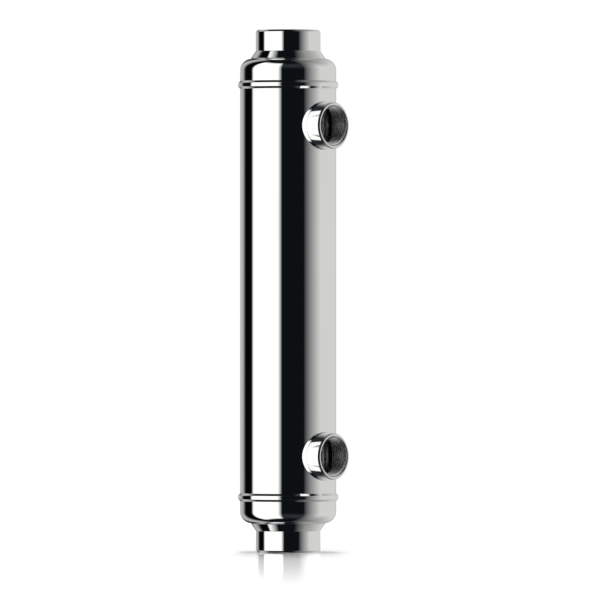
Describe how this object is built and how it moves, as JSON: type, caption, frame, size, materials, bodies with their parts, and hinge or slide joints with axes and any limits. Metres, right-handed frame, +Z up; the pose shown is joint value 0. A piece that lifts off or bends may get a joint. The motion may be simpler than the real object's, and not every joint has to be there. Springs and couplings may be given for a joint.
{
  "type": "shell and tube heat exchanger",
  "caption": "Compact upright shell and tube heat exchanger in polished stainless steel, with a threaded socket at each end and threaded side sockets near both ends.",
  "frame": {"origin": "centre of the lower end socket's rim, where the part stands", "axes": "+Z up along the shell, +X towards the side sockets"},
  "size_m": [0.0938, 0.0842, 0.44],
  "materials": {
    "polished_steel": "mirror-polished stainless steel",
    "socket_steel": "turned and polished stainless steel, with bright machined threads",
    "polished_weld": "stainless weld, blended and polished",
    "sheet_steel": "stainless plate with a polished rim and machined faces",
    "bundle_steel": "drawn stainless tube, plate and rod, as supplied"
  },
  "bodies": {
    "root": {"shell": "polished_steel", "lower_cap": "polished_steel", "upper_cap": "polished_steel", "lower_end_socket": "socket_steel", "upper_end_socket": "socket_steel", "lower_side_socket": "socket_steel", "upper_side_socket": "socket_steel", "lower_side_weld": "polished_weld", "upper_side_weld": "polished_weld", "lower_tube_sheet": "sheet_steel", "upper_tube_sheet": "sheet_steel", "tube_01": "bundle_steel", "tube_02": "bundle_steel", "tube_03": "bundle_steel", "tube_04": "bundle_steel", "tube_05": "bundle_steel", "tube_06": "bundle_steel", "tube_07": "bundle_steel", "tube_08": "bundle_steel", "tube_09": "bundle_steel", "tube_10": "bundle_steel", "tube_11": "bundle_steel", "tube_12": "bundle_steel", "tube_13": "bundle_steel", "tube_14": "bundle_steel", "tube_15": "bundle_steel", "tube_16": "bundle_steel", "tube_17": "bundle_steel", "tube_18": "bundle_steel", "tube_19": "bundle_steel", "baffle_1": "bundle_steel", "baffle_2": "bundle_steel", "baffle_3": "bundle_steel", "baffle_4": "bundle_steel", "baffle_5": "bundle_steel", "tie_rod_1": "bundle_steel", "tie_rod_2": "bundle_steel", "tie_rod_3": "bundle_steel", "tie_rod_4": "bundle_steel"}
  },
  "joints": []
}
